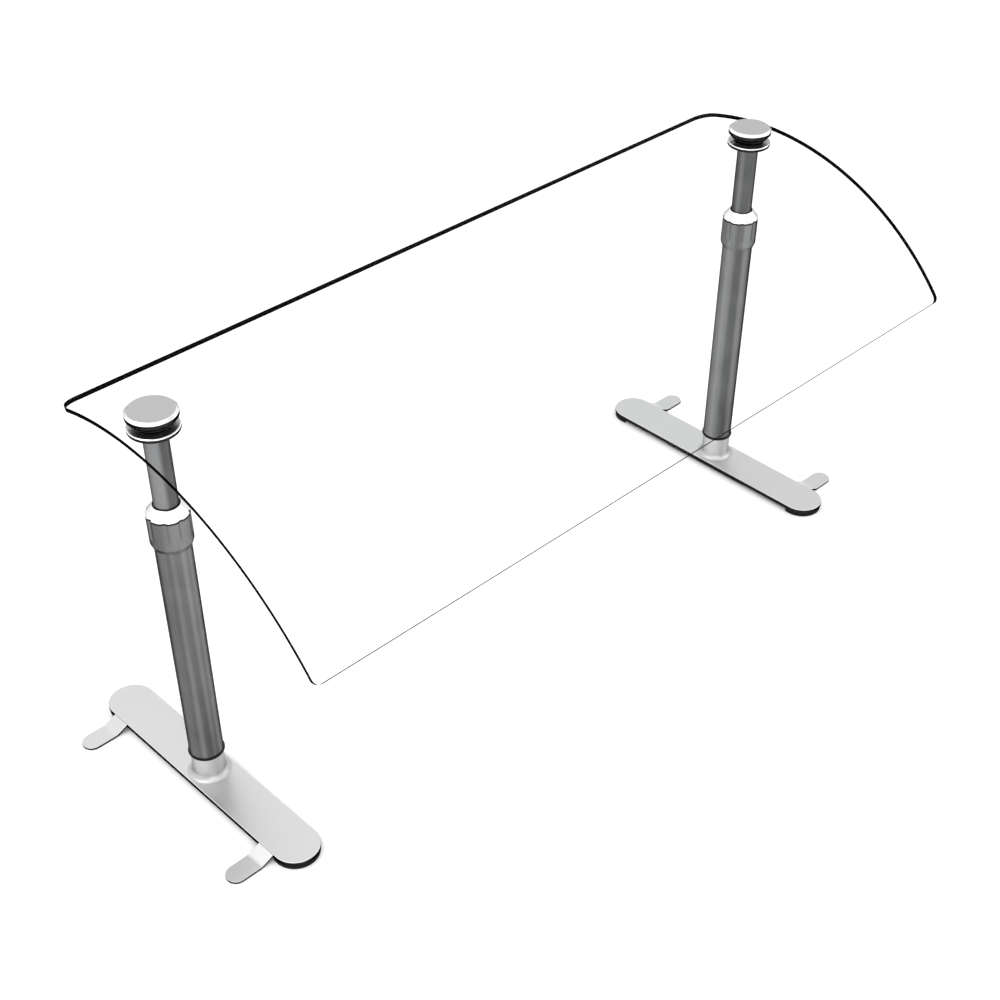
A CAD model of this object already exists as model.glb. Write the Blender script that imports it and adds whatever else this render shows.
"""Sneeze guard: a bent sheet of clear glass on two telescoping posts.

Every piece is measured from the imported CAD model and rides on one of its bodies. Lengths
are in metres. The customer stands on the -Y side, and the posts stand on a counter at Z = 0.
"""

import math

import bmesh
import bpy
from bpy.props import FloatProperty, FloatVectorProperty, IntProperty, PointerProperty
from bpy.types import Operator, Panel, PropertyGroup
from mathutils import Matrix, Vector


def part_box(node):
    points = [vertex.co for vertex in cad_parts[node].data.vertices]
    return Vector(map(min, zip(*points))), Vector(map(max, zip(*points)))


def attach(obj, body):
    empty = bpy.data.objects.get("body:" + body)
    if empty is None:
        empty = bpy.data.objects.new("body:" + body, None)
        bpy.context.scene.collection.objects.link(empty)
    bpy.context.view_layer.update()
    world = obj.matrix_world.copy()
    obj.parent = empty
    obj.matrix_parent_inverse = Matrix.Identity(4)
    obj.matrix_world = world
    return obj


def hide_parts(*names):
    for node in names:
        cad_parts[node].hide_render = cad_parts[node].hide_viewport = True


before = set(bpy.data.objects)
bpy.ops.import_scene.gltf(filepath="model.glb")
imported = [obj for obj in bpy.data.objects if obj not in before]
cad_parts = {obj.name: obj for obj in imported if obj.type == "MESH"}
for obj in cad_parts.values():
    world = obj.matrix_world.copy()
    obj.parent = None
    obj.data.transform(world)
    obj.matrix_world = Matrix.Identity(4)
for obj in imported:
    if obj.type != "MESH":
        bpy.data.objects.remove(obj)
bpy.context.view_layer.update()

bl_info = {
    "name": "Sneeze Guard",
    "version": (1, 0, 0),
    "blender": (4, 5, 0),
    "location": "3D View > Sidebar > Sneeze Guard",
    "description": "Builds a counter-top sneeze guard round its CAD frame",
    "category": "Object",
}

SIDES = ("left", "right")
MM = 0.001
TINY = 1e-6  # points closer than this are one point
SHARP = math.radians(40)  # edges that turn more than this are rounded off
CREASE = math.radians(55)  # edges that still turn more than this are shaded as creases
LOOKS_UP = 0.3  # a face whose normal rises less than this is on the side of a plate or lug
LOOKS_FLAT = 0.97  # a face whose normal rises more than this is flat, on a disc or the glass
CHAMFER_RISE = 0.25  # a face of a disc that rises less than that, but more than this, is bright
CONE_RISE = 0.2  # a face at the top of a collar that rises more than this is on its cone
ROUND_STEPS = 3
ARRIS_STEPS = 2
FLARE_STEPS = 10
RING_STEPS = 8
WIPER_STEPS = 4
LATHE_STEPS = 144
BAND_STEPS = 4  # rows of faces over which a grip groove deepens
SLOPE_STEPS = 12  # rows of faces on the collar's cone
GASKET_STEPS = 5  # rings of faces on a gasket
BEND_CUTS = 6  # cuts on each side of a lug's bend, a millimetre apart
NEARLY_HALF = 0.49  # share of a ring's height that each of its two roundings takes
HOLE_CELL = 1.6  # half the square cut out round a hole in the glass, in hole radii
MARKS = 0.3  # how strongly scratches show in the steel
MIRROR_AHEAD = 0.002  # share of the light that the glass mirrors when seen straight on
MIRROR_ALONG = 0.4  # what is added to that when it is seen along its surface
MIRROR_RISE = 14  # how late the share rises between the two
SENSOR_WIDTH = 36  # in mm


# ---- measures of the CAD frame


def post_axis(side):
    """The point on the counter under a post's axis."""
    low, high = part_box(f"{side}_outer_tube")
    return Vector(((low.x + high.x) / 2, (low.y + high.y) / 2, 0))


def heights(node):
    """The lowest and highest Z of a CAD node."""
    low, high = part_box(node)
    return low.z, high.z


def half_size(node):
    """Half of a CAD node's width along X, and half of its length along Y."""
    low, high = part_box(node)
    return (high.x - low.x) / 2, (high.y - low.y) / 2


def standing(side):
    """Puts a shape drawn round the origin, with its outer side at -X, on one of the posts."""
    turn = 0 if side == "left" else math.pi
    return Matrix.Translation(post_axis(side)) @ Matrix.Rotation(turn, 4, "Z")


POST_X = post_axis("right").x
POST_Y = post_axis("right").y
PLATE_TOP = heights("left_base_plate")[1]
GLASS_TOP = heights("glass_panel")[1]


# ---- sizes and colours to change


def length(name, description, default):
    """A property that holds a length."""
    kind = {"subtype": "DISTANCE", "unit": "LENGTH", "precision": 5}
    return FloatProperty(name=name, description=description, default=default, min=0, **kind)


def colour(name, description, default):
    """A property that holds a colour."""
    return FloatVectorProperty(
        name=name, description=description, default=default, size=3, min=0, max=1, subtype="COLOR"
    )


def amount(name, description, default, top):
    """A property that holds a plain number from nothing to a top value."""
    return FloatProperty(name=name, description=description, default=default, min=0, max=top)


def angle(name, description, degrees, least=-180):
    """A property that holds an angle, given here in degrees."""
    kind = {"subtype": "ANGLE", "unit": "ROTATION", "min": math.radians(least)}
    return FloatProperty(name=name, description=description, default=math.radians(degrees), **kind)


def count(name, description, default, least):
    """A property that holds a whole number."""
    return IntProperty(name=name, description=description, default=default, min=least)


class FootSizes(PropertyGroup):
    """Shape of the foot plates, their lugs and their pads"""

    rim: length("Rim", "Width of the rounded rim on top of a foot plate", 1.0 * MM)
    under_rim: length("Under rim", "Rounding of a foot plate's lower edge", 0.3 * MM)
    lug_width: length("Lug width", "Width of a side lug", 24.4 * MM)
    lug_thickness: length("Lug thickness", "Thickness of a side lug", 3.0 * MM)
    lug_slope: length("Lug slope", "Length of a lug's sloped part", 15.5 * MM)
    lug_tuck: length("Lug tuck", "How far a lug's root lies inside the plate's edge", 0.5 * MM)
    lug_ease: length("Lug ease", "Height over which a lug turns from its slope to the flat", 1.6 * MM)
    lug_rounding: length("Lug rounding", "Rounding of a lug's edges", 0.5 * MM)
    end_pad: length("End pad length", "Length of the pad under each end", 33.0 * MM)
    pad_rounding: length("Pad rounding", "Rounding of the pads' edges", 0.6 * MM)
    steps: count("Steps", "Steps round an end", 96, 8)


class PostSizes(PropertyGroup):
    """Shape of the hub, the rubber ring and the two tubes of a post"""

    waist: length("Hub waist", "Distance of the hub's waist inside the tube's surface", 0.8 * MM)
    spigot: length("Hub spigot", "Wall between the hub's spigot and the tube's surface", 1.55 * MM)
    flare: length("Hub flare", "Radius of the flare at the foot of the hub", 7.0 * MM)
    tube_wall: length("Lower tube wall", "Wall of the lower tube", 1.5 * MM)
    upper_wall: length("Upper tube wall", "Wall of the upper tube", 2.0 * MM)
    rounding: length("Edge rounding", "Rounding of the turned edges", 0.3 * MM)


class CollarSizes(PropertyGroup):
    """Shape of the lock collar and of the ring in its mouth"""

    taper: length("Taper", "Height of the tapered foot", 5.5 * MM)
    cone: length("Cone", "Height of the cone on top", 10.0 * MM)
    skirt_gap: length("Skirt gap", "Gap between the collar and the lower tube", 0.3 * MM)
    skirt_lip: length("Skirt lip", "Wall left at the foot of the taper", 0.7 * MM)
    mouth_lip: length("Mouth lip", "Wall left round the mouth", 0.75 * MM)
    bore_gap: length("Bore gap", "Gap between the collar and the upper tube", 0.4 * MM)
    thread_start: length("Thread start", "Height of the thread's foot over the lower tube", 3.0 * MM)
    thread_depth: length("Thread depth", "How much the thread narrows the lower tube's radius", 1.0 * MM)
    skirt_edge: length("Skirt edge", "Rounding of the taper's foot", 0.2 * MM)
    mouth_edge: length("Mouth edge", "Rounding outside the mouth", 0.25 * MM)
    seat_edge: length("Seat edge", "Rounding inside the mouth", 0.15 * MM)
    mouth_depth: length("Mouth depth", "Depth of the seat that holds the wiper ring", 3.5 * MM)
    rounding: length("Edge rounding", "Rounding of the collar's edges", 0.5 * MM)
    groove_count: count("Grooves", "Number of grip grooves", 8, 3)
    groove_radius: length("Groove radius", "Radius of a grip groove", 5.0 * MM)
    groove_depth: length("Groove depth", "Depth of a grip groove", 1.5 * MM)
    groove_start: length("Groove start", "Plain band between the taper and the grooves", 6.0 * MM)
    groove_run: length("Groove run", "Height over which a groove deepens", 6.0 * MM)
    shade: length("Dark line", "Height of the dark line turned under the cone", 2.4 * MM)
    wiper_gap: length("Wiper gap", "Gap between the wiper ring and the upper tube", 0.1 * MM)
    wiper_edge: length("Wiper edge", "Rounding of the wiper ring's outer edge", 0.2 * MM)
    wiper_lip: length("Wiper lip", "Rounding of the wiper ring's lip", 0.6 * MM)
    steps: count("Steps", "Steps round the collar", 384, 48)


class ClampSizes(PropertyGroup):
    """Shape of the discs and gaskets that hold the glass"""

    cap_chamfer: length("Cap chamfer", "Chamfer round the top of the cap", 2.6 * MM)
    top_chamfer: length("Disc chamfer", "Chamfer round the top of the lower disc", 1.0 * MM)
    low_chamfer: length("Low chamfer", "Chamfer under the lower disc", 0.5 * MM)
    cap_under_chamfer: length("Cap under chamfer", "Chamfer under the cap", 3.2 * MM)
    rounding: length("Edge rounding", "Rounding of the discs' edges", 0.25 * MM)
    stud_bore: length("Stud bore", "Radius of the holes for the stud", 4.1 * MM)
    cap_roof: length("Cap roof", "Steel left over the cap's hole", 2.0 * MM)
    gasket_bore: length("Gasket bore", "Radius of the hole in the gaskets", 8.5 * MM)
    gasket_gap: length("Gasket gap", "Gap between a gasket and the glass", 0.05 * MM)


class GlassSizes(PropertyGroup):
    """Shape of the bent sheet of glass"""

    bend_radius: length("Bend radius", "Radius of the bend, to the middle of the sheet", 0.348)
    thickness: length("Thickness", "Thickness of the sheet", 5.0 * MM)
    front_corner: length("Front corners", "Radius of the corners on the customer's side", 8.0 * MM)
    back_corner: length("Back corners", "Radius of the corners on the server's side", 20.0 * MM)
    hole: length("Hole radius", "Radius of the hole at each post", 8.0 * MM)
    arris: length("Arris", "Width of the ground arris along the edges", 0.35 * MM)
    strip: angle("Strip", "Part of the bend that one strip of faces covers", 1.0, 0.2)
    corner_steps: count("Corner steps", "Steps round a corner", 14, 2)
    hole_steps: count("Hole steps", "Steps along a quarter of a hole", 10, 2)


class Colours(PropertyGroup):
    """Colours and surface of the steel, the rubber and the glass"""

    plate: colour("Plates", "Satin steel of the feet", (0.64, 0.64, 0.645))
    plate_side: colour("Plate sides", "Shaded steel on the sides of the feet", (0.02, 0.02, 0.0205))
    hub: colour("Hubs", "Polished steel of the hubs", (0.55, 0.55, 0.555))
    tube: colour("Tubes", "Brushed steel of the tubes", (0.165, 0.165, 0.168))
    collar: colour("Collars", "Brushed steel on the collars' grip", (0.175, 0.175, 0.178))
    bright: colour("Bright facets", "Mirror finish of cones and chamfers", (0.96, 0.96, 0.962))
    cap: colour("Caps", "Turned steel on top of the caps", (0.50, 0.50, 0.503))
    dark_side: colour("Disc sides", "Dark turned steel on the discs' sides", (0.022, 0.022, 0.0225))
    rubber: colour("Rubber", "Pads and rings", (0.006, 0.006, 0.0065))
    nylon: colour("Nylon", "Bushes and sleeves inside the posts", (0.70, 0.68, 0.62))
    machined: colour("Machined steel", "Parts inside the posts", (0.45, 0.45, 0.46))
    glass: colour("Glass", "What one face of the glass lets through", (0.988, 0.995, 0.992))
    glass_edge: colour("Glass edge", "Ground edges of the glass", (0.002, 0.0025, 0.0025))


class StageSizes(PropertyGroup):
    """Camera, floor and light"""

    azimuth: angle("Azimuth", "Turn of the camera round the object from straight in front", -44.117)
    elevation: angle("Elevation", "Height of the camera above the horizon", 40.382)
    distance: length("Distance", "From the camera to the middle between the feet", 2.0324)
    lens: FloatProperty(name="Lens", description="Focal length in mm", default=57.668, min=1)
    shift: FloatVectorProperty(
        name="Shift", description="Sideways and upward shift of the lens", default=(0.00876, 0.09177), size=2
    )
    floor: length("Floor", "Half the width of the floor", 9.0)
    floor_colour: colour("Floor colour", "Pale floor", (0.98, 0.98, 0.98))
    world: amount("World", "Brightness of the surroundings", 1.4, 10)


# ---- shapes


def everything(bm):
    """All of a mesh's points, edges and faces, as the operators want them."""
    return bm.verts[:] + bm.edges[:] + bm.faces[:]


def points(parts):
    """The points among some parts of a mesh."""
    return [part for part in parts if isinstance(part, bmesh.types.BMVert)]


def on_middle(bm):
    """The edges that lie along Y = 0."""
    return [edge for edge in bm.edges if all(abs(vert.co.y) < TINY for vert in edge.verts)]


def cut(bm, point, normal, keep_all=True):
    """Cuts a shape along a plane, and can throw away what lies behind the plane."""
    plane = {"plane_co": point, "plane_no": normal, "clear_inner": not keep_all}
    bmesh.ops.bisect_plane(bm, geom=everything(bm), dist=TINY, **plane)


def tongue(radius, reach, stop, steps):
    """A flat tongue along Y: a half round about Y = reach, with straight sides back to stop."""
    bm = bmesh.new()
    bmesh.ops.create_circle(bm, cap_ends=True, radius=radius, segments=steps)
    cut(bm, (0, 0, 0), (0, 1, 0), keep_all=False)
    sides = bmesh.ops.extrude_edge_only(bm, edges=on_middle(bm))["geom"]
    bmesh.ops.translate(bm, verts=points(sides), vec=(0, stop - reach, 0))
    bmesh.ops.translate(bm, verts=bm.verts[:], vec=(0, reach, 0))
    return bm


def mirrored(bm):
    """Adds a shape's mirror image across Y = 0, joined to it where they meet."""
    bmesh.ops.mirror(bm, geom=everything(bm), matrix=Matrix.Identity(4), merge_dist=TINY, axis="Y")
    bmesh.ops.dissolve_edges(bm, edges=on_middle(bm))
    bmesh.ops.recalc_face_normals(bm, faces=bm.faces[:])


def thickened(bm, rise, lowest=-math.inf):
    """Gives a sheet a thickness, with its new face no lower than a given height."""
    grown = points(bmesh.ops.extrude_face_region(bm, geom=bm.faces[:])["geom"])
    bmesh.ops.translate(bm, verts=grown, vec=(0, 0, rise))
    for vert in grown:
        vert.co.z = max(lowest, vert.co.z)
    bmesh.ops.recalc_face_normals(bm, faces=bm.faces[:])


def raised(bm, low, high):
    """Makes a flat shape a solid between two heights."""
    bmesh.ops.translate(bm, verts=bm.verts[:], vec=(0, 0, low))
    thickened(bm, high - low)


def bevelled(bm, parts, width, steps, affect):
    """Rounds off some of a mesh's points or edges."""
    shape = {"offset_type": "OFFSET", "profile": 0.5, "material": -1}
    keep_apart = affect == "EDGES"
    bmesh.ops.bevel(
        bm, geom=parts, offset=width, segments=steps, affect=affect, clamp_overlap=keep_apart, **shape
    )


def rounded(bm, width, chosen=None, steps=ROUND_STEPS):
    """Rounds off a solid's sharp edges, or those of them that a test picks."""
    sharp = [edge for edge in bm.edges if edge.calc_face_angle(0) > SHARP]
    bevelled(bm, [edge for edge in sharp if chosen is None or chosen(edge)], width, steps, "EDGES")


def lathe(corners, steps=LATHE_STEPS, fillet_steps=ROUND_STEPS):
    """Turns an outline once round the Z axis. A corner is (radius, height, rounding). An
    outline that starts on the axis is left open there, and any other is closed."""
    bm = bmesh.new()
    verts = [bm.verts.new((radius, 0, height)) for radius, height, _ in corners]
    following = verts[1:] if corners[0][0] == 0 else verts[1:] + verts[:1]
    for start, end in zip(verts, following):
        bm.edges.new((start, end))
    for vert, (_, _, rounding) in zip(verts, corners):
        if rounding > 0:
            bevelled(bm, [vert], rounding, fillet_steps, "VERTICES")
    turn = {"cent": (0, 0, 0), "axis": (0, 0, 1), "angle": 2 * math.pi, "steps": steps}
    bmesh.ops.spin(bm, geom=everything(bm), use_merge=True, use_duplicate=False, **turn)
    bmesh.ops.remove_doubles(bm, verts=bm.verts[:], dist=TINY)
    bmesh.ops.recalc_face_normals(bm, faces=bm.faces[:])
    return bm


def top_or_side(face):
    """The first finish for the faces that look up, and the second for the rest."""
    return 1 if face.normal.z < LOOKS_UP else 0


def added(name, data):
    """A new object in the scene."""
    item = bpy.data.objects.new(name, data)
    bpy.context.scene.collection.objects.link(item)
    return item


def publish(bm, name, body, looks, node, side=None, paint=None):
    """Turns a finished shape into a piece: gives each face its finish, puts it on its post,
    and says which body it rides on and which CAD node it stands for."""
    if paint:
        for face in bm.faces:
            face.material_index = paint(face)
    if side:
        bmesh.ops.transform(bm, matrix=standing(side), verts=bm.verts[:])
    for face in bm.faces:
        face.smooth = True
    for edge in bm.edges:
        edge.smooth = edge.calc_face_angle(0) < CREASE
    mesh = bpy.data.meshes.new(name)
    bm.to_mesh(mesh)
    bm.free()
    for look in looks:
        mesh.materials.append(finish(look))
    piece = added(name, mesh)
    even = piece.modifiers.new("Even shading", "WEIGHTED_NORMAL")
    even.keep_sharp = True
    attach(piece, body)
    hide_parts(node)


# ---- finishes


class Value:
    """A number or colour that a node gives. Arithmetic on it adds Math nodes."""

    def __init__(self, nodes, socket):
        self.nodes = nodes
        self.socket = socket

    def math(self, operation, *numbers):
        """A Math node on some numbers, one of which is usually this one."""
        return self.nodes.add("ShaderNodeMath", {"operation": operation}, dict(enumerate(numbers)))

    def __add__(self, other):
        return self.math("ADD", self, other)

    def __radd__(self, other):
        return self.math("ADD", other, self)

    def __sub__(self, other):
        return self.math("SUBTRACT", self, other)

    def __rsub__(self, other):
        return self.math("SUBTRACT", other, self)

    def __mul__(self, other):
        return self.math("MULTIPLY", self, other)

    def __rmul__(self, other):
        return self.math("MULTIPLY", other, self)

    def __abs__(self):
        return self.math("ABSOLUTE", self)

    def root(self):
        """The square root."""
        return self.math("SQRT", self)

    def power(self, exponent):
        """This number to a power."""
        return self.math("POWER", self, exponent)

    def rising(self, low, high):
        """0 below one value and 1 above another, rising smoothly between them."""
        settings = {"interpolation_type": "SMOOTHSTEP", "clamp": True}
        inputs = {"Value": self, "From Min": low, "From Max": high}
        return self.nodes.add("ShaderNodeMapRange", settings, inputs)


class Nodes:
    """A node tree that shader nodes are added to."""

    def __init__(self, owner):
        owner.use_nodes = True
        self.tree = owner.node_tree
        self.tree.nodes.clear()

    def add(self, kind, settings=None, inputs=None, output=0):
        """Adds a node. Its settings come first, then the values or links of its sockets."""
        node = self.tree.nodes.new(kind)
        for name, setting in (settings or {}).items():
            if name == "stops":
                self.set_stops(node.color_ramp.elements, setting)
            else:
                setattr(node, name, setting)
        for name, value in (inputs or {}).items():
            if isinstance(value, Value):
                self.tree.links.new(value.socket, node.inputs[name])
            else:
                node.inputs[name].default_value = value
        return Value(self, node.outputs[output]) if node.outputs else node

    def set_stops(self, elements, stops):
        """Gives a ramp its stops, each a place and a brightness."""
        while len(elements) < len(stops):
            elements.new(1.0)
        for element, (place, brightness) in zip(elements, stops):
            element.position = place
            element.color = (brightness, brightness, brightness, 1)

    def place(self):
        """Where a point is in the object."""
        return self.add("ShaderNodeTexCoord", output="Object")

    def noise(self, scale, stretch=(1, 1, 1), turn=0.0, detail=2.0, roughness=0.5, where=None):
        """Soft random values from 0 to 1. A stretch below 1 draws the pattern out."""
        inputs = {"Vector": where or self.place(), "Scale": stretch, "Rotation": (0, 0, turn)}
        place = self.add("ShaderNodeMapping", None, inputs)
        inputs = {"Vector": place, "Scale": scale, "Detail": detail, "Roughness": roughness}
        return self.add("ShaderNodeTexNoise", None, inputs)

    def mix(self, share, first, second):
        """A colour between two colours."""
        settings = {"data_type": "RGBA", "clamp_factor": True}
        return self.add("ShaderNodeMix", settings, {0: share, 6: first, 7: second}, 2)

    def from_post(self):
        """Distance from the nearer post's axis, and height."""
        x, y, z = self.split(self.place())
        across = abs(x) - POST_X
        along = y - POST_Y
        return (across * across + along * along).root(), z

    def split(self, vector):
        """The three numbers of a vector."""
        node = self.add("ShaderNodeSeparateXYZ", None, {0: vector})
        return [Value(self, socket) for socket in node.socket.node.outputs]

    def bump(self, height, strength, distance):
        """A surface direction from a height pattern."""
        inputs = {"Height": height, "Strength": strength, "Distance": distance}
        return self.add("ShaderNodeBump", None, inputs)

    def surface(self, inputs):
        """A Principled shader as the tree's result."""
        shader = self.add("ShaderNodeBsdfPrincipled", None, inputs)
        self.result(shader)

    def result(self, shader):
        """Links a shader to the tree's output."""
        self.add("ShaderNodeOutputMaterial", None, {"Surface": shader})


def solid(rgb, brightness=1.0):
    """A colour with its alpha, made lighter or darker."""
    return (*(min(1.0, part * brightness) for part in rgb), 1.0)


def new_finish(name):
    """A material and its empty node tree."""
    material = bpy.data.materials.new(name)
    return material, Nodes(material)


def scratches(nodes, turn, width):
    """Sparse fine scratches in one direction, from 0 to 1."""
    streaks = nodes.noise(1 / width, (1, 0.02, 1), turn, detail=1)
    patches = nodes.noise(30, detail=1)
    return streaks.rising(0.70, 0.76) * patches.rising(0.5, 0.7)


def steel(name, rgb, roughness, grain, contrast=0.06, bump=0.05, rim=1.0):
    """Steel with a machined grain, faint smudges and a few fine scratches. grain is a
    function that gives the grain's pattern in the material's tree. A rim below 1 makes the
    steel mirror less at a low angle."""
    material, nodes = new_finish(name)
    fine = grain(nodes)
    smudge = nodes.noise(22, detail=4, roughness=0.6)
    scratch = scratches(nodes, 0.6, 0.5 * MM) + scratches(nodes, -0.9, 0.4 * MM)
    tone = fine * 0.7 + smudge * 0.3 + scratch * (MARKS * 0.3)
    base = nodes.mix(tone, solid(rgb, 1 - contrast), solid(rgb, 1 + contrast))
    rough = roughness + (fine - 0.5) * 0.10 + (smudge - 0.5) * 0.12 + scratch * (MARKS * 0.15)
    grained = nodes.bump(fine - scratch * MARKS, bump, 0.05 * MM)
    metal = {"Metallic": 1.0, "Specular Tint": (rim, rim, rim, 1)}
    nodes.surface({"Base Color": base, "Roughness": rough, "Normal": grained, **metal})
    return material


def along_post(nodes):
    """Grain brushed up and down a tube, in broad lighter and darker streaks."""
    streaks = nodes.noise(75, (1, 1, 0.006), detail=1).rising(0.35, 0.65)
    coarse = nodes.noise(500, (1, 1, 0.008), detail=3, roughness=0.7)
    fine = nodes.noise(1600, (1, 1, 0.01), detail=2)
    return streaks * 0.65 + coarse * 0.2 + fine * 0.15


def along_plate(nodes):
    """Grain brushed from end to end of a foot plate."""
    coarse = nodes.noise(450, (1, 0.012, 1), detail=3, roughness=0.7)
    fine = nodes.noise(1500, (1, 0.015, 1), detail=2)
    return coarse * 0.6 + fine * 0.4


def across_plate(nodes):
    """Grain brushed along a lug."""
    return nodes.noise(600, (0.015, 1, 1), detail=3, roughness=0.7)


def turned(nodes):
    """Fine rings left by a lathe."""
    reach, height = nodes.from_post()
    rings = nodes.add("ShaderNodeCombineXYZ", None, {0: reach, 1: height})
    return nodes.noise(1800, detail=3, roughness=0.7, where=rings)


def matt(name, rgb, roughness, lighter, bump):
    """Rubber or nylon: a moulded grain, a little dust and a slight unevenness of colour."""
    material, nodes = new_finish(name)
    fine = nodes.noise(1200, detail=2)
    broad = nodes.noise(40, detail=3)
    dust = nodes.noise(160, detail=4, roughness=0.7).rising(0.55, 0.8) * broad.rising(0.4, 0.7)
    base = nodes.mix(broad, solid(rgb, 0.85), solid(rgb, 1.15))
    base = nodes.mix(dust * 0.25, base, solid(rgb, lighter))
    rough = roughness + (fine - 0.5) * 0.12 + dust * 0.1
    grained = nodes.bump(fine, bump, 0.1 * MM)
    nodes.surface({"Base Color": base, "Roughness": rough, "Specular IOR Level": 0.12, "Normal": grained})
    return material


def clear_glass(name, rgb):
    """One face of the sheet: it lets nearly all light through, mirrors more at a low angle,
    and has a few faint wiping marks."""
    material, nodes = new_finish(name)
    wiped = nodes.noise(9, (1, 0.25, 1), 0.5, detail=4, roughness=0.6)
    specks = nodes.noise(900, detail=1).rising(0.74, 0.8) * wiped.rising(0.45, 0.7)
    ripple = nodes.noise(6, detail=1)
    wave = nodes.bump(ripple, 0.05, 0.2 * MM)
    facing = nodes.add("ShaderNodeLayerWeight", None, {"Blend": 0.5, "Normal": wave}, 1)
    mirror = MIRROR_AHEAD + MIRROR_ALONG * facing.power(MIRROR_RISE)
    share = mirror * (0.85 + wiped * 0.15) + specks * 0.04
    through = nodes.add("ShaderNodeBsdfTransparent", None, {"Color": solid(rgb)})
    rough = 0.03 + wiped.rising(0.5, 0.8) * 0.03
    silver = {"Base Color": (0.95, 0.97, 0.97, 1), "Metallic": 1.0, "Roughness": rough, "Normal": wave}
    gloss = nodes.add("ShaderNodeBsdfPrincipled", None, silver)
    nodes.result(nodes.add("ShaderNodeMixShader", None, {0: share, 1: through, 2: gloss}))
    return material


def ground_edge(name, rgb):
    """The ground and polished edge of the glass, dark because the sheet is seen edge on."""
    material, nodes = new_finish(name)
    grind = nodes.noise(700, (0.05, 1, 1), detail=2)
    base = nodes.mix(grind, solid(rgb, 0.6), solid(rgb, 1.4))
    ground = nodes.bump(grind, 0.05, 0.05 * MM)
    rough = 0.28 + grind * 0.1
    nodes.surface({"Base Color": base, "Roughness": rough, "Specular IOR Level": 0.0, "Normal": ground})
    return material


def finish(name):
    """A finish by name, made when it is first asked for."""
    made = bpy.data.materials.get(name)
    if made:
        return made
    colours = bpy.context.scene.guard_colours
    makers = {
        "plate satin": lambda: steel(name, colours.plate, 0.40, along_plate),
        "lug satin": lambda: steel(name, colours.plate, 0.38, across_plate),
        "plate side": lambda: steel(name, colours.plate_side, 0.35, along_plate, rim=0.05),
        "hub polish": lambda: steel(name, colours.hub, 0.46, turned, 0.04, 0.03, rim=0.3),
        "tube brushed": lambda: steel(name, colours.tube, 0.36, along_post, 0.9, 0.06, rim=0.12),
        "collar brushed": lambda: steel(name, colours.collar, 0.34, along_post, 0.6, 0.06, rim=0.12),
        "bright polish": lambda: steel(name, colours.bright, 0.20, turned, 0.02, 0.02, rim=0.25),
        "cap face": lambda: steel(name, colours.cap, 0.34, turned, 0.05, 0.05),
        "disc side": lambda: steel(name, colours.dark_side, 0.28, turned, 0.05, 0.05, rim=0.05),
        "machined steel": lambda: steel(name, colours.machined, 0.35, turned, 0.05, 0.05),
        "pad rubber": lambda: matt(name, colours.rubber, 0.68, 6, 0.25),
        "ring rubber": lambda: matt(name, colours.rubber, 0.45, 5, 0.12),
        "nylon": lambda: matt(name, colours.nylon, 0.45, 1.2, 0.08),
        "clear glass": lambda: clear_glass(name, colours.glass),
        "glass edge": lambda: ground_edge(name, colours.glass_edge),
    }
    return makers[name]()


# ---- pieces


class GUARD_OT_foot_plates(Operator):
    """Make the long flat plate of each foot"""

    bl_idname = "guard.foot_plates"
    bl_label = "Foot plates"

    def execute(self, context):
        sizes = context.scene.guard_foot
        for side in SIDES:
            node = f"{side}_base_plate"
            low, high = heights(node)
            half_width, half_length = half_size(node)
            bm = tongue(half_width, half_length - half_width, 0, sizes.steps)
            mirrored(bm)
            raised(bm, low, high)
            rounded(bm, sizes.rim, lambda edge: min(v.co.z for v in edge.verts) > high - TINY)
            rounded(bm, sizes.under_rim, lambda edge: max(v.co.z for v in edge.verts) < low + TINY)
            looks = ("plate satin", "plate side")
            publish(bm, f"{side}_plate", f"{side}_base", looks, node, side, top_or_side)
        return {"FINISHED"}


class GUARD_OT_lugs(Operator):
    """Make the two thin lugs on the outer side of each foot"""

    bl_idname = "guard.lugs"
    bl_label = "Side lugs"

    def execute(self, context):
        sizes = context.scene.guard_foot
        for side in SIDES:
            node = f"{side}_side_lugs"
            plate_edge = half_size(f"{side}_base_plate")[0]
            low, high = heights(node)
            reach, half_length = half_size(node)
            tip = sizes.lug_width / 2
            outer = plate_edge + 2 * reach
            slope_end = plate_edge + sizes.lug_slope
            bm = tongue(tip, outer - tip, plate_edge - sizes.lug_tuck, sizes.steps // 2)
            for step in range(-BEND_CUTS, BEND_CUTS + 1):
                cut(bm, (0, slope_end + step * MM, 0), (0, 1, 0))
            flat = low + sizes.lug_thickness
            steepness = (high - flat) / sizes.lug_slope
            for vert in bm.verts:
                vert.co.z = flat + self.eased((slope_end - vert.co.y) * steepness, sizes.lug_ease)
            thickened(bm, -sizes.lug_thickness, low)
            rounded(bm, sizes.lug_rounding)
            bmesh.ops.rotate(bm, verts=bm.verts[:], matrix=Matrix.Rotation(math.pi / 2, 3, "Z"))
            offset = half_length - tip
            twin = points(bmesh.ops.duplicate(bm, geom=everything(bm))["geom"])
            first = [vert for vert in bm.verts if vert not in set(twin)]
            bmesh.ops.translate(bm, verts=twin, vec=(0, offset, 0))
            bmesh.ops.translate(bm, verts=first, vec=(0, -offset, 0))
            looks = ("lug satin", "plate side")
            publish(bm, f"{side}_lugs", f"{side}_base", looks, node, side, top_or_side)
        return {"FINISHED"}

    def eased(self, rise, ease):
        """The height of a lug's top: flat, then sloped, with a soft turn between the two."""
        return max(0.0, rise) if abs(rise) >= ease else (rise + ease) ** 2 / (4 * ease)


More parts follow.
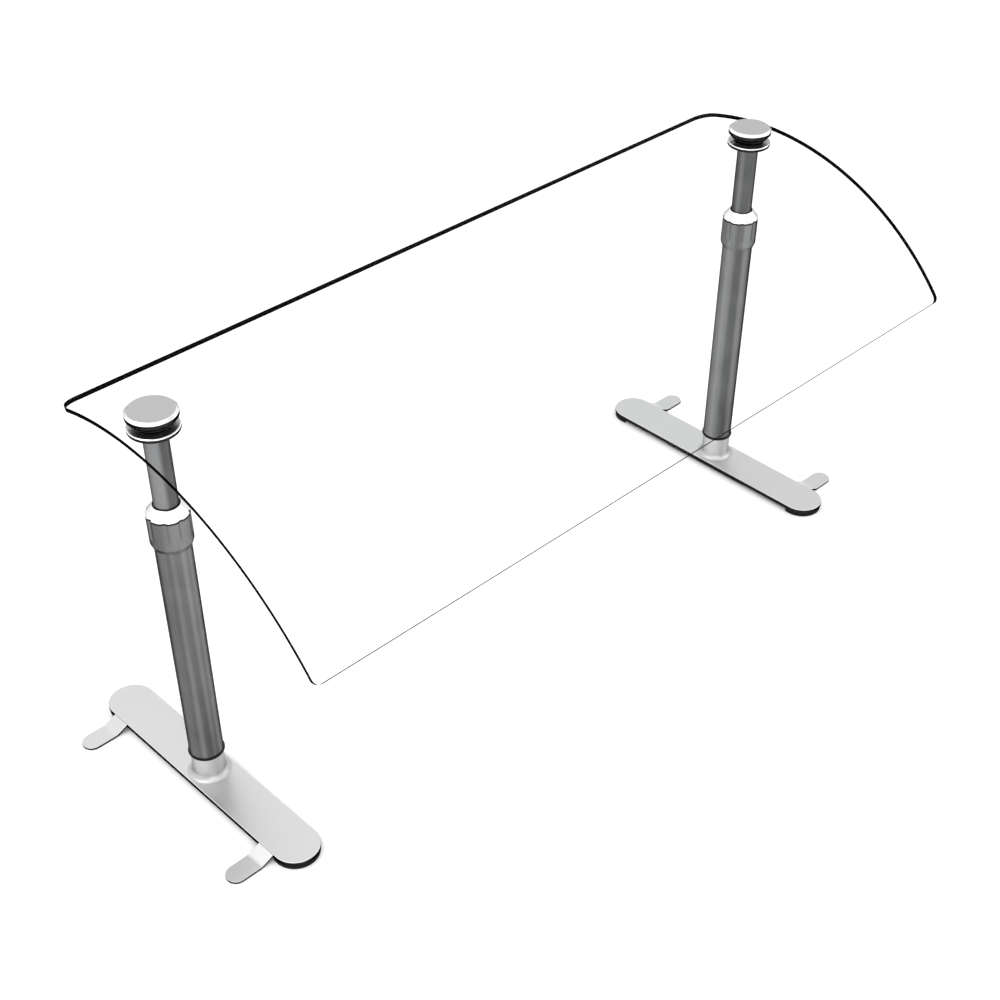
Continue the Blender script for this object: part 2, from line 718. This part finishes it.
class GUARD_OT_pads(Operator):
    """Make the rubber pads under each foot"""

    bl_idname = "guard.pads"
    bl_label = "Rubber pads"

    def execute(self, context):
        sizes = context.scene.guard_foot
        for side in SIDES:
            node = f"{side}_end_pads"
            low, high = heights(node)
            half_width, half_length = half_size(node)
            stop = half_size(f"{side}_base_plate")[1] - sizes.end_pad
            bm = tongue(half_width, half_length - half_width, stop, sizes.steps)
            raised(bm, low, high)
            rounded(bm, sizes.pad_rounding)
            mirrored(bm)
            self.publish_pad(bm, f"{side}_toe_pads", node, side)

            node = f"{side}_centre_pad"
            low, high = heights(node)
            half_width, half_length = half_size(node)
            bm = bmesh.new()
            bmesh.ops.create_grid(bm, x_segments=1, y_segments=1, size=1)
            bmesh.ops.scale(bm, verts=bm.verts[:], vec=(half_width, half_length, 1))
            raised(bm, low, high)
            rounded(bm, sizes.pad_rounding)
            self.publish_pad(bm, f"{side}_middle_pad", node, side)
        return {"FINISHED"}

    def publish_pad(self, bm, name, node, side):
        """Puts a pad in place."""
        publish(bm, name, f"{side}_base", ("pad rubber",), node, side)


class GUARD_OT_hubs(Operator):
    """Make the flared hub of each foot and the rubber ring on it"""

    bl_idname = "guard.hubs"
    bl_label = "Hubs"

    def execute(self, context):
        sizes = context.scene.guard_post
        for side in SIDES:
            tube_radius = half_size(f"{side}_outer_tube")[0]
            ring_low, ring_high = heights(f"{side}_foot_ring")
            low, high = heights(f"{side}_post_hub")
            waist = tube_radius - sizes.waist
            spigot = tube_radius - sizes.spigot
            bm = lathe(
                [
                    (0, low, 0),
                    (waist + sizes.flare, low, 0),
                    (waist, low, sizes.flare),
                    (waist, ring_low, sizes.rounding),
                    (spigot, ring_low, 0),
                    (spigot, high, sizes.rounding),
                    (0, high, 0),
                ],
                fillet_steps=FLARE_STEPS,
            )
            node = f"{side}_post_hub"
            publish(bm, f"{side}_hub", f"{side}_base", ("hub polish",), node, side)
            outer = half_size(f"{side}_foot_ring")[0]
            bore = tube_radius - sizes.tube_wall
            round_edge = (ring_high - ring_low) * NEARLY_HALF
            outside = [(outer, ring_low, round_edge), (outer, ring_high, round_edge)]
            inside = [(bore, ring_high, 0), (bore, ring_low, 0)]
            bm = lathe([*outside, *inside], fillet_steps=RING_STEPS)
            name = f"{side}_rubber_ring"
            node = f"{side}_foot_ring"
            publish(bm, name, f"{side}_base", ("ring rubber",), node, side)
        return {"FINISHED"}


class GUARD_OT_tubes(Operator):
    """Make the lower and upper tube of each post"""

    bl_idname = "guard.tubes"
    bl_label = "Tubes"

    def execute(self, context):
        sizes = context.scene.guard_post
        for side in SIDES:
            self.tube(side, "lower_tube", f"{side}_base", "outer_tube", sizes.tube_wall)
            self.tube(side, "upper_tube", "screen", "inner_tube", sizes.upper_wall)
        return {"FINISHED"}

    def tube(self, side, name, body, node, wall):
        """Makes one tube from the CAD node that it stands for."""
        edge = bpy.context.scene.guard_post.rounding
        node = f"{side}_{node}"
        outer = half_size(node)[0]
        low, high = heights(node)
        bore = outer - wall
        bm = lathe([(bore, low, edge), (outer, low, edge), (outer, high, edge), (bore, high, edge)])
        publish(bm, f"{side}_{name}", body, ("tube brushed",), node, side)


class GUARD_OT_collars(Operator):
    """Make the lock collar of each post, with its grip grooves, and its wiper ring"""

    bl_idname = "guard.collars"
    bl_label = "Lock collars"

    def execute(self, context):
        sizes = context.scene.guard_collar
        for side in SIDES:
            self.collar(side, sizes)
            self.wiper(side, sizes)
        return {"FINISHED"}

    def collar(self, side, sizes):
        """Turns the collar and cuts its grooves."""
        node = f"{side}_lock_collar"
        low, high = heights(node)
        outer = half_size(node)[0]
        neck = half_size(f"{side}_outer_tube")[0]
        seat = half_size(f"{side}_wiper_ring")[0]
        skirt = neck + sizes.skirt_gap
        bore = half_size(f"{side}_inner_tube")[0] + sizes.bore_gap
        seat_low = high - sizes.mouth_depth
        thread_low = heights(f"{side}_outer_tube")[1] + sizes.thread_start
        roof = heights(f"{side}_grip_sleeve")[1]
        thread = neck - sizes.thread_depth
        grip = low + sizes.taper
        start = grip + sizes.groove_start
        cone = high - sizes.cone
        edge = sizes.rounding
        band = sizes.groove_run / BAND_STEPS
        bands = [(outer, start + band * step, 0) for step in range(BAND_STEPS + 1)]
        mouth = seat + sizes.mouth_lip
        inward = (outer - mouth) / SLOPE_STEPS
        upward = sizes.cone / SLOPE_STEPS
        slope = [(outer - inward * step, cone + upward * step, 0) for step in range(1, SLOPE_STEPS)]
        bm = lathe(
            [
                (skirt, low, 0),
                (skirt + sizes.skirt_lip, low, sizes.skirt_edge),
                (outer, grip, edge),
                *bands,
                (outer, cone - sizes.shade, 0),
                (outer, cone, edge),
                *slope,
                (mouth, high, sizes.mouth_edge),
                (seat, high, sizes.seat_edge),
                (seat, seat_low, 0),
                (bore, seat_low, 0),
                (bore, roof, 0),
                (thread, roof, 0),
                (thread, thread_low, 0),
                (skirt, thread_low, 0),
            ],
            sizes.steps,
        )
        self.groove(bm, sizes, outer, seat, start)
        looks = ("collar brushed", "bright polish", "disc side")
        name = f"{side}_collar"
        shade = cone - sizes.shade
        publish(bm, name, name, looks, node, side, lambda face: self.paint(face, shade))

    def paint(self, face, shade):
        """The cone is bright, with a dark line turned under it, and the rest is brushed."""
        if face.calc_center_median().z < shade:
            return 0
        return 1 if face.normal.z > CONE_RISE else 2

    def groove(self, bm, sizes, outer, seat, start):
        """Pulls the points that lie in a groove back to the groove's own surface."""
        centre = outer + sizes.groove_radius - sizes.groove_depth
        pitch = 2 * math.pi / sizes.groove_count
        for vert in bm.verts:
            reach = math.hypot(vert.co.x, vert.co.y)
            run = (vert.co.z - start) / sizes.groove_run
            if run <= 0 or reach < seat + sizes.mouth_lip / 2:
                continue
            turn = math.atan2(vert.co.y, vert.co.x) % pitch
            turn = min(turn, pitch - turn)
            aside = centre * math.sin(turn)
            if aside >= sizes.groove_radius:
                continue
            near = centre * math.cos(turn) - math.sqrt(sizes.groove_radius**2 - aside**2)
            eased = outer - (outer - near) * math.sin(min(1.0, run) * math.pi / 2)
            if eased < reach:
                vert.co.x *= eased / reach
                vert.co.y *= eased / reach

    def wiper(self, side, sizes):
        """Turns the dark ring in the collar's mouth."""
        node = f"{side}_wiper_ring"
        low, high = heights(node)
        outer = half_size(node)[0]
        bore = half_size(f"{side}_inner_tube")[0] + sizes.wiper_gap
        over = [(outer, high, sizes.wiper_edge), (bore, high, sizes.wiper_lip)]
        bm = lathe([(bore, low, 0), (outer, low, 0), *over], fillet_steps=WIPER_STEPS)
        name = f"{side}_wiper"
        publish(bm, name, f"{side}_collar", ("ring rubber",), node, side)


class GUARD_OT_clamps(Operator):
    """Make the discs and gaskets that clamp the glass on each post"""

    bl_idname = "guard.clamps"
    bl_label = "Glass clamps"

    LOOKS = ("cap face", "bright polish", "disc side")

    def execute(self, context):
        sizes = context.scene.guard_clamp
        for side in SIDES:
            self.disc(side, sizes)
            self.cap(side, sizes)
            self.gasket(side, "lower_gasket", "under_gasket", False)
            self.gasket(side, "upper_gasket", "over_gasket", True)
        return {"FINISHED"}

    def paint(self, face):
        """Flat faces are satin, the upper chamfer is bright, and the rest is dark."""
        if face.normal.z > LOOKS_FLAT:
            return 0
        return 1 if face.normal.z > CHAMFER_RISE else 2

    def disc(self, side, sizes):
        """Turns the disc under the glass."""
        node = f"{side}_lower_disc"
        low, high = heights(node)
        outer = half_size(node)[0]
        edge = sizes.rounding
        bm = lathe(
            [
                (sizes.stud_bore, low, 0),
                (outer - sizes.low_chamfer, low, edge),
                (outer, low + sizes.low_chamfer, edge),
                (outer, high - sizes.top_chamfer, edge),
                (outer - sizes.top_chamfer, high, edge),
                (sizes.stud_bore, high, 0),
            ]
        )
        publish(bm, f"{side}_disc", "screen", self.LOOKS, node, side, self.paint)

    def cap(self, side, sizes):
        """Turns the cap over the glass, with a blind hole for the stud."""
        node = f"{side}_clamp_cap"
        low, high = heights(node)
        outer = half_size(node)[0]
        edge = sizes.rounding
        roof = high - sizes.cap_roof
        bm = lathe(
            [
                (0, roof, 0),
                (sizes.stud_bore, roof, 0),
                (sizes.stud_bore, low, 0),
                (outer - sizes.cap_under_chamfer, low, edge),
                (outer, low + sizes.cap_under_chamfer, edge),
                (outer, high - sizes.cap_chamfer, edge),
                (outer - sizes.cap_chamfer, high, edge),
                (0, high, 0),
            ]
        )
        name = f"{side}_cap_disc"
        publish(bm, name, f"{side}_cap", self.LOOKS, node, side, self.paint)

    def gasket(self, side, node, name, over):
        """Makes a gasket whose face follows the bend of the glass."""
        sizes = bpy.context.scene.guard_clamp
        glass = bpy.context.scene.guard_glass
        node = f"{side}_{node}"
        low, high = heights(node)
        outer = half_size(node)[0]
        bore = sizes.gasket_bore
        width = (outer - bore) / GASKET_STEPS
        rings = [bore + width * step for step in range(GASKET_STEPS + 1)]
        bent = low if over else high
        other = high if over else low
        face = [(ring, bent, 0) for ring in rings]
        bm = lathe([(bore, other, 0), *face, (outer, other, 0)])
        surface = glass.bend_radius + (glass.thickness / 2 + sizes.gasket_gap) * (1 if over else -1)
        centre = GLASS_TOP - glass.bend_radius - glass.thickness / 2
        for vert in bm.verts:
            if abs(vert.co.z - bent) < TINY:
                vert.co.z = centre + math.sqrt(surface**2 - vert.co.y**2)
        publish(bm, f"{side}_{name}", "screen", ("ring rubber",), node, side)


class GUARD_OT_glass(Operator):
    """Make the bent sheet of glass with its round corners, its two holes and dark edges"""

    bl_idname = "guard.glass"
    bl_label = "Glass"

    def execute(self, context):
        sizes = context.scene.guard_glass
        low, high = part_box("glass_panel")
        outer = sizes.bend_radius + sizes.thickness / 2
        front = math.asin((POST_Y - low.y) / outer) * sizes.bend_radius
        back = math.asin((high.y - POST_Y) / outer) * sizes.bend_radius
        half_length = (high.x - low.x) / 2

        bm = bmesh.new()
        bmesh.ops.create_grid(bm, x_segments=1, y_segments=1, size=1)
        bmesh.ops.scale(bm, verts=bm.verts[:], vec=(half_length, (front + back) / 2, 1))
        bmesh.ops.translate(bm, verts=bm.verts[:], vec=(0, (back - front) / 2, 0))
        at_front = [vert for vert in bm.verts if vert.co.y < 0]
        at_back = [vert for vert in bm.verts if vert.co.y > 0]
        for corners, radius in ((at_front, sizes.front_corner), (at_back, sizes.back_corner)):
            bevelled(bm, corners, radius, sizes.corner_steps, "VERTICES")
        for post in (-POST_X, POST_X):
            self.hole(bm, post, sizes)
        strip = sizes.bend_radius * sizes.strip
        for step in range(-math.floor(front / strip), math.ceil(back / strip)):
            cut(bm, (0, (step + 0.5) * strip, 0), (0, 1, 0))
        raised(bm, -sizes.thickness / 2, sizes.thickness / 2)
        rounded(bm, sizes.arris, steps=ARRIS_STEPS)
        for face in bm.faces:
            face.material_index = 0 if abs(face.normal.z) > LOOKS_FLAT else 1
        for vert in bm.verts:
            turn = vert.co.y / sizes.bend_radius
            reach = sizes.bend_radius + vert.co.z
            vert.co.y = POST_Y + reach * math.sin(turn)
            vert.co.z = GLASS_TOP - outer + reach * math.cos(turn)
        looks = ("clear glass", "glass edge")
        publish(bm, "glass_sheet", "screen", looks, "glass_panel")
        return {"FINISHED"}

    def hole(self, bm, post, sizes):
        """Makes a round hole in the flat sheet, joined to a square cut out round it."""
        cell = sizes.hole * HOLE_CELL
        for x in (post - cell, post + cell):
            cut(bm, (x, 0, 0), (1, 0, 0))
        for y in (-cell, cell):
            cut(bm, (0, y, 0), (0, 1, 0))
        inside = [face for face in bm.faces if self.covers(face, post, cell)]
        square = list({edge for face in inside for edge in face.edges})
        corners = {vert for face in inside for vert in face.verts}
        bmesh.ops.delete(bm, geom=inside, context="FACES_ONLY")
        split = bmesh.ops.subdivide_edges(bm, edges=square, cuts=sizes.hole_steps - 1)["geom_inner"]
        loop = corners | set(points(split))
        rim = [edge for edge in bm.edges if edge.is_boundary and set(edge.verts) <= loop]
        shift = Matrix.Translation((post, 0, 0)) @ Matrix.Rotation(math.pi / 4, 4, "Z")
        steps = 4 * sizes.hole_steps
        circle = bmesh.ops.create_circle(bm, radius=sizes.hole, segments=steps, matrix=shift)
        ring = {edge for vert in circle["verts"] for edge in vert.link_edges}
        bmesh.ops.bridge_loops(bm, edges=rim + list(ring))

    def covers(self, face, post, cell):
        """True for the face of the sheet that the hole's square takes up."""
        middle = face.calc_center_bounds()
        return abs(middle.x - post) < cell / 2 and abs(middle.y) < cell / 2


class GUARD_OT_inner_parts(Operator):
    """Give the parts inside the posts their finishes"""

    bl_idname = "guard.inner_parts"
    bl_label = "Inner parts"

    NODES = {
        "machined steel": ("base_screw", "tube_head", "bush_pin", "tube_plug", "clamp_stud"),
        "nylon": ("grip_sleeve", "guide_bush", "glass_sleeve"),
    }

    def execute(self, context):
        for name, nodes in self.NODES.items():
            for side in SIDES:
                for node in nodes:
                    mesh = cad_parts[f"{side}_{node}"].data
                    mesh.materials.clear()
                    mesh.materials.append(finish(name))
        return {"FINISHED"}


class GUARD_OT_stage(Operator):
    """Make the floor, the light and the camera"""

    bl_idname = "guard.stage"
    bl_label = "Stage"

    LIGHTS = (
        # name, turn and height in degrees, distance, width and tallness in metres, power in watts
        ("Key softbox", -95, 55, 2.6, 1.6, 1.2, 12),
        ("Front softbox", -30, 24, 2.8, 1.8, 0.9, 10),
        ("Side softbox", 55, 30, 2.8, 1.4, 0.8, 8),
    )
    SKY = ((0.0, 0.74), (0.70, 0.74), (0.84, 1.0))  # places up the sky and how bright each is
    SIDE_START = (0.40, 0.65)  # how far to the right the sky's duller side begins, and is full
    SIDE_HEIGHT = (0.42, 0.55)  # the same up the sky
    SIDE_LOSS = 0.2  # share of its light that the duller side lacks

    def execute(self, context):
        sizes = context.scene.guard_stage
        self.floor(sizes)
        self.world(sizes)
        for light in self.LIGHTS:
            self.softbox(*light)
        self.camera(sizes)
        context.scene.view_settings.view_transform = "Standard"
        return {"FINISHED"}

    def aim(self):
        """The middle between the two feet, at the height of their plates."""
        return Vector((0, POST_Y, PLATE_TOP))

    def direction(self, azimuth, elevation):
        """From the middle out to a place at these angles."""
        level = math.cos(elevation)
        return Vector((math.sin(azimuth) * level, -math.cos(azimuth) * level, math.sin(elevation)))

    def floor(self, sizes):
        """A wide pale floor with a very faint unevenness."""
        bm = bmesh.new()
        bmesh.ops.create_grid(bm, x_segments=8, y_segments=8, size=sizes.floor)
        mesh = bpy.data.meshes.new("floor")
        bm.to_mesh(mesh)
        bm.free()
        floor = added("floor", mesh)
        material, nodes = new_finish("floor matt")
        cloud = nodes.noise(3, detail=2)
        base = nodes.mix(cloud, solid(sizes.floor_colour, 0.99), solid(sizes.floor_colour, 1.01))
        nodes.surface({"Base Color": base, "Roughness": 0.9, "Specular IOR Level": 0.0})
        mesh.materials.append(material)

    def world(self, sizes):
        """Pale surroundings, brighter overhead and a little duller on the right."""
        world = bpy.data.worlds.new("studio")
        bpy.context.scene.world = world
        nodes = Nodes(world)
        aside, _, height = nodes.split(nodes.add("ShaderNodeTexCoord", output="Generated"))
        sky = nodes.add("ShaderNodeValToRGB", {"stops": self.SKY}, {0: height})
        duller = aside.rising(*self.SIDE_START) * height.rising(*self.SIDE_HEIGHT)
        strength = sizes.world * (1 - duller * self.SIDE_LOSS)
        light = nodes.add("ShaderNodeBackground", None, {0: sky, 1: strength})
        nodes.add("ShaderNodeOutputWorld", None, {"Surface": light})

    def softbox(self, name, turn, height, distance, width, tall, power):
        """A large soft lamp aimed at the middle, itself unseen."""
        lamp = bpy.data.lights.new(name, "AREA")
        lamp.shape = "RECTANGLE"
        lamp.size = width
        lamp.size_y = tall
        lamp.energy = power
        box = added(name, lamp)
        out = self.direction(math.radians(turn), math.radians(height))
        box.location = self.aim() + out * distance
        box.rotation_euler = out.to_track_quat("Z", "Y").to_euler()
        box.visible_camera = False

    def camera(self, sizes):
        """A camera aimed at the middle, its lens shifted to frame the whole object."""
        lens = bpy.data.cameras.new("camera")
        lens.lens = sizes.lens
        lens.sensor_width = SENSOR_WIDTH
        lens.shift_x, lens.shift_y = sizes.shift
        camera = added("camera", lens)
        out = self.direction(sizes.azimuth, sizes.elevation)
        camera.location = self.aim() + out * sizes.distance
        camera.rotation_euler = out.to_track_quat("Z", "Y").to_euler()
        bpy.context.scene.camera = camera


# ---- the add-on


class GUARD_PT_build(Panel):
    """Lists the operators in the order in which they build the object"""

    bl_label = "Sneeze Guard"
    bl_idname = "GUARD_PT_build"
    bl_space_type = "VIEW_3D"
    bl_region_type = "UI"
    bl_category = "Sneeze Guard"

    def draw(self, context):
        for operator in OPERATORS:
            self.layout.operator(operator.bl_idname)


GROUPS = {
    "guard_foot": FootSizes,
    "guard_post": PostSizes,
    "guard_collar": CollarSizes,
    "guard_clamp": ClampSizes,
    "guard_glass": GlassSizes,
    "guard_colours": Colours,
    "guard_stage": StageSizes,
}
OPERATORS = (
    GUARD_OT_foot_plates,
    GUARD_OT_lugs,
    GUARD_OT_pads,
    GUARD_OT_hubs,
    GUARD_OT_tubes,
    GUARD_OT_collars,
    GUARD_OT_clamps,
    GUARD_OT_glass,
    GUARD_OT_inner_parts,
    GUARD_OT_stage,
)


def register():
    """Adds the settings, the operators and the panel."""
    for name, group in GROUPS.items():
        bpy.utils.register_class(group)
        setattr(bpy.types.Scene, name, PointerProperty(type=group))
    for operator in OPERATORS:
        bpy.utils.register_class(operator)
    bpy.utils.register_class(GUARD_PT_build)


def unregister():
    """Takes away what register added."""
    bpy.utils.unregister_class(GUARD_PT_build)
    for operator in reversed(OPERATORS):
        bpy.utils.unregister_class(operator)
    for name, group in reversed(GROUPS.items()):
        delattr(bpy.types.Scene, name)
        bpy.utils.unregister_class(group)


def main():
    """Builds the whole object."""
    register()
    for operator in OPERATORS:
        group, name = operator.bl_idname.split(".")
        getattr(getattr(bpy.ops, group), name)()


if __name__ == "__main__":
    main()
